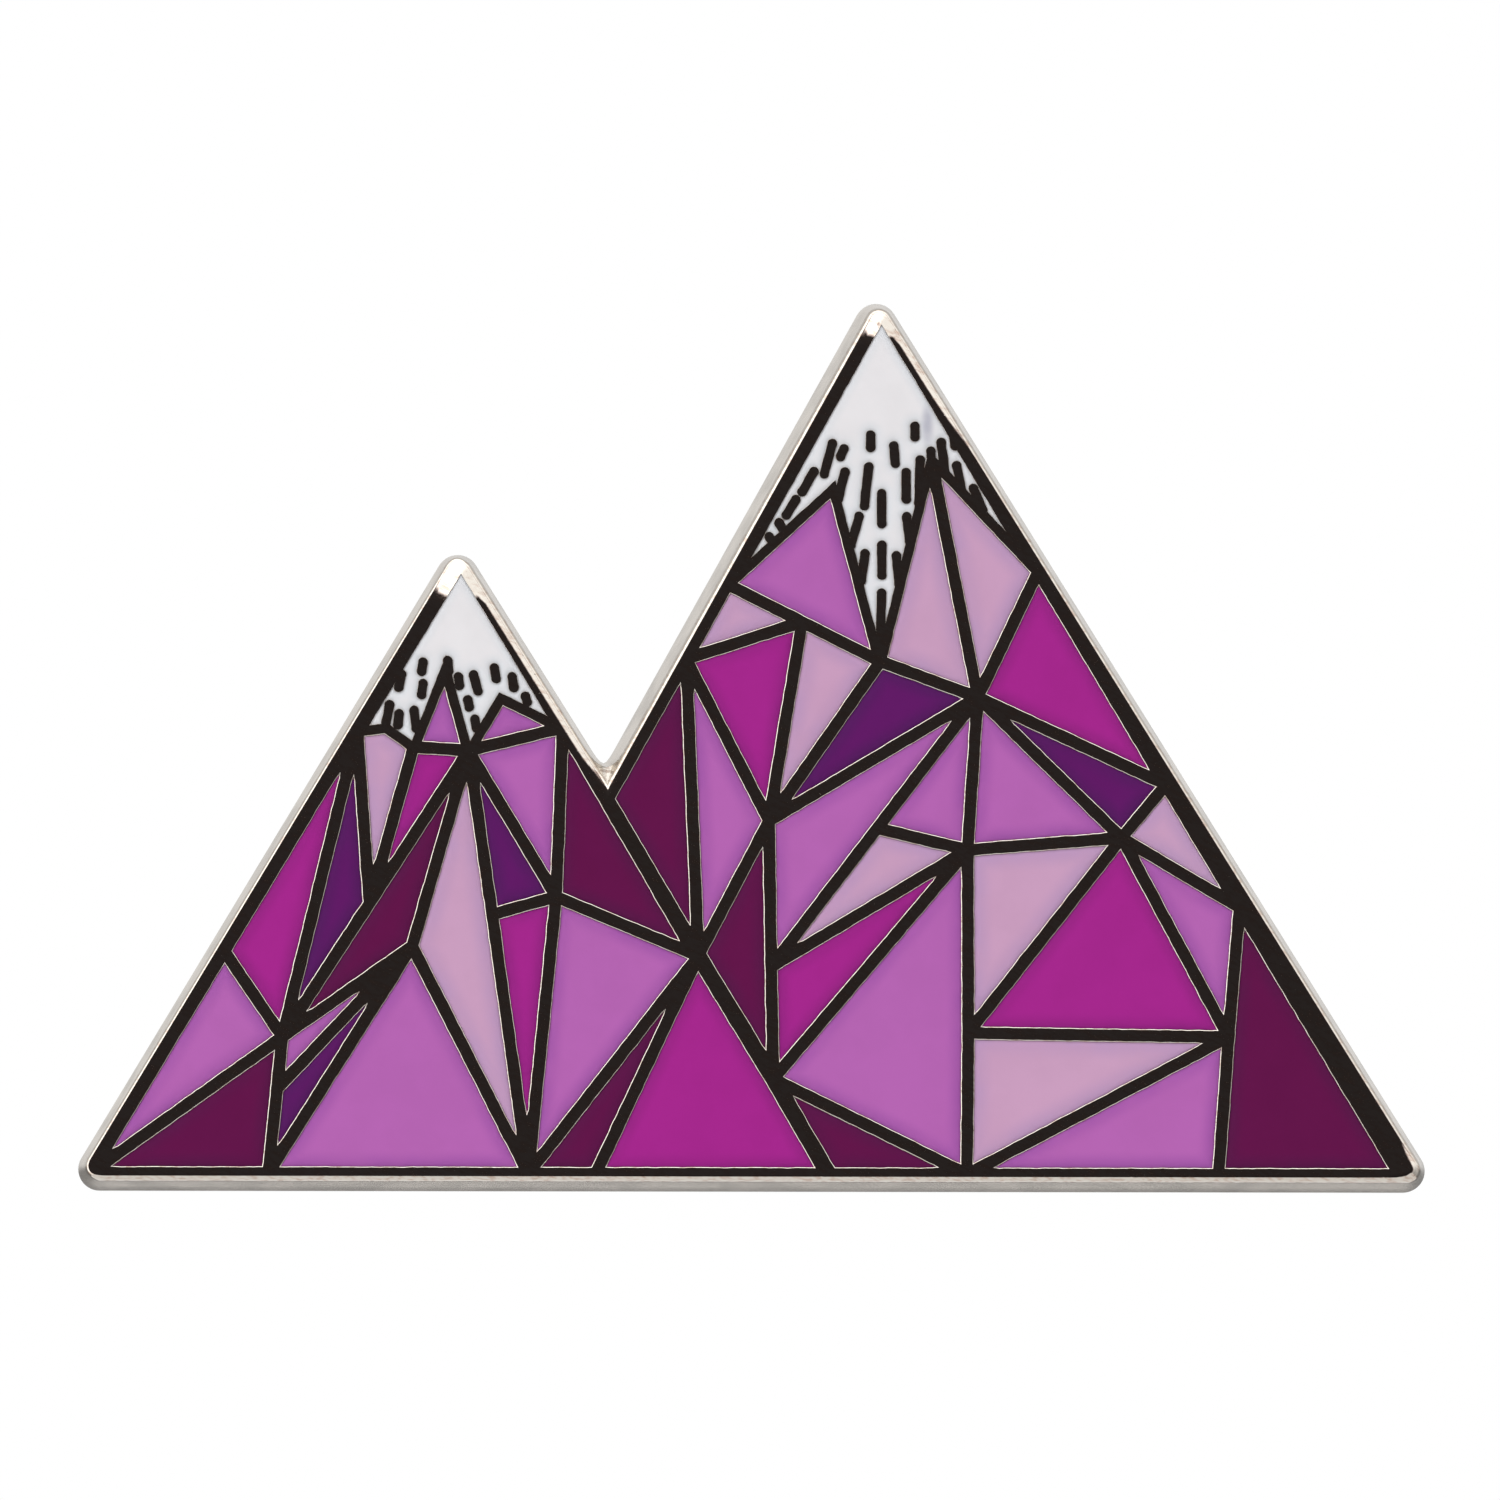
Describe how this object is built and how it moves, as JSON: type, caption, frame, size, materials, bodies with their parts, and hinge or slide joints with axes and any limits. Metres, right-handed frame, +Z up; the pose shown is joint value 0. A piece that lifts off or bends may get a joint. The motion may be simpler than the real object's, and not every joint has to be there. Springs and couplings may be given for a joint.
{
  "type": "hard enamel lapel pin",
  "caption": "Flat metal pin shaped as two snow-capped mountains, with faceted purple and pink enamel, twin rear posts and butterfly clutches.",
  "frame": {"origin": "on the flat back face, midway between the two posts and level with them", "axes": "worn upright: +Z up, the enamelled face looks along -Y, the posts stand along +Y, +X to the right as seen from the front"},
  "size_m": [0.038, 0.01, 0.025],
  "materials": {
    "plated_base": "polished nickel plating on die-struck metal, satin side wall, fine sandblast texture on the back",
    "plated_post": "nickel-plated wire, plain and smooth",
    "solder": "dull grey solder under plating",
    "clutch_cap_metal": "nickel-plated sheet metal, pressed and rolled",
    "clutch_wing_metal": "nickel-plated spring sheet",
    "enamel_snow": "opaque white hard enamel, polished level with the metal",
    "enamel_pale_pink": "opaque pale pink hard enamel, polished",
    "enamel_orchid": "opaque orchid hard enamel, polished",
    "enamel_magenta": "opaque magenta hard enamel, polished",
    "enamel_plum": "opaque plum hard enamel, polished",
    "enamel_violet": "opaque violet hard enamel, polished"
  },
  "bodies": {
    "pin": {"pin_base": "plated_base", "left_snow_cap": "enamel_snow", "left_facet_02_orchid": "enamel_orchid", "left_facet_03_orchid": "enamel_orchid", "left_facet_04_pale_pink": "enamel_pale_pink", "left_facet_05_magenta": "enamel_magenta", "left_facet_06_orchid": "enamel_orchid", "left_facet_07_magenta": "enamel_magenta", "left_facet_08_violet": "enamel_violet", "left_facet_09_plum": "enamel_plum", "left_facet_10_pale_pink": "enamel_pale_pink", "left_facet_11_violet": "enamel_violet", "left_facet_12_plum": "enamel_plum", "left_facet_13_orchid": "enamel_orchid", "left_facet_14_plum": "enamel_plum", "left_facet_15_orchid": "enamel_orchid", "left_facet_16_violet": "enamel_violet", "left_facet_17_orchid": "enamel_orchid", "left_facet_18_magenta": "enamel_magenta", "left_facet_19_orchid": "enamel_orchid", "left_facet_20_plum": "enamel_plum", "left_facet_21_magenta": "enamel_magenta", "right_snow_cap": "enamel_snow", "right_facet_02_orchid": "enamel_orchid", "right_facet_03_pale_pink": "enamel_pale_pink", "right_facet_04_magenta": "enamel_magenta", "right_facet_05_pale_pink": "enamel_pale_pink", "right_facet_06_pale_pink": "enamel_pale_pink", "right_facet_07_pale_pink": "enamel_pale_pink", "right_facet_08_magenta": "enamel_magenta", "right_facet_09_violet": "enamel_violet", "right_facet_10_violet": "enamel_violet", "right_facet_11_plum": "enamel_plum", "right_facet_12_orchid": "enamel_orchid", "right_facet_13_orchid": "enamel_orchid", "right_facet_14_orchid": "enamel_orchid", "right_facet_15_orchid": "enamel_orchid", "right_facet_16_pale_pink": "enamel_pale_pink", "right_facet_17_pale_pink": "enamel_pale_pink", "right_facet_18_plum": "enamel_plum", "right_facet_19_magenta": "enamel_magenta", "right_facet_20_orchid": "enamel_orchid", "right_facet_21_magenta": "enamel_magenta", "right_facet_22_pale_pink": "enamel_pale_pink", "right_facet_23_orchid": "enamel_orchid", "right_facet_24_pale_pink": "enamel_pale_pink", "right_facet_25_orchid": "enamel_orchid", "right_facet_26_plum": "enamel_plum", "right_facet_27_plum": "enamel_plum", "left_post": "plated_post", "right_post": "plated_post", "left_solder": "solder", "right_solder": "solder"},
    "left_clutch": {"left_clutch_cap": "clutch_cap_metal"},
    "left_upper_wing": {"left_clutch_upper_wing": "clutch_wing_metal"},
    "left_lower_wing": {"left_clutch_lower_wing": "clutch_wing_metal"},
    "right_clutch": {"right_clutch_cap": "clutch_cap_metal"},
    "right_upper_wing": {"right_clutch_upper_wing": "clutch_wing_metal"},
    "right_lower_wing": {"right_clutch_lower_wing": "clutch_wing_metal"}
  },
  "joints": [
    {"name": "left_clutch_pull", "type": "slide", "parent": "pin", "child": "left_clutch", "axis": [0, 1, 0], "range_m": [-0.0018, 0.012]},
    {"name": "left_upper_wing_squeeze", "type": "hinge", "parent": "left_clutch", "child": "left_upper_wing", "pos_m": [-0.0075, 0.0047, 0.0021], "axis": [-1, 0, 0], "range_deg": [0, 12], "stiffness_Nm_per_rad": 0.0005},
    {"name": "left_lower_wing_squeeze", "type": "hinge", "parent": "left_clutch", "child": "left_lower_wing", "pos_m": [-0.0075, 0.0047, -0.0021], "axis": [1, 0, 0], "range_deg": [0, 12], "stiffness_Nm_per_rad": 0.0005},
    {"name": "right_clutch_pull", "type": "slide", "parent": "pin", "child": "right_clutch", "axis": [0, 1, 0], "range_m": [-0.0018, 0.012]},
    {"name": "right_upper_wing_squeeze", "type": "hinge", "parent": "right_clutch", "child": "right_upper_wing", "pos_m": [0.0075, 0.0047, 0.0021], "axis": [-1, 0, 0], "range_deg": [0, 12], "stiffness_Nm_per_rad": 0.0005},
    {"name": "right_lower_wing_squeeze", "type": "hinge", "parent": "right_clutch", "child": "right_lower_wing", "pos_m": [0.0075, 0.0047, -0.0021], "axis": [1, 0, 0], "range_deg": [0, 12], "stiffness_Nm_per_rad": 0.0005}
  ],
  "couplings": [
    {"joint": "left_lower_wing_squeeze", "follows": "left_upper_wing_squeeze", "ratio": 1},
    {"joint": "right_lower_wing_squeeze", "follows": "right_upper_wing_squeeze", "ratio": 1}
  ]
}
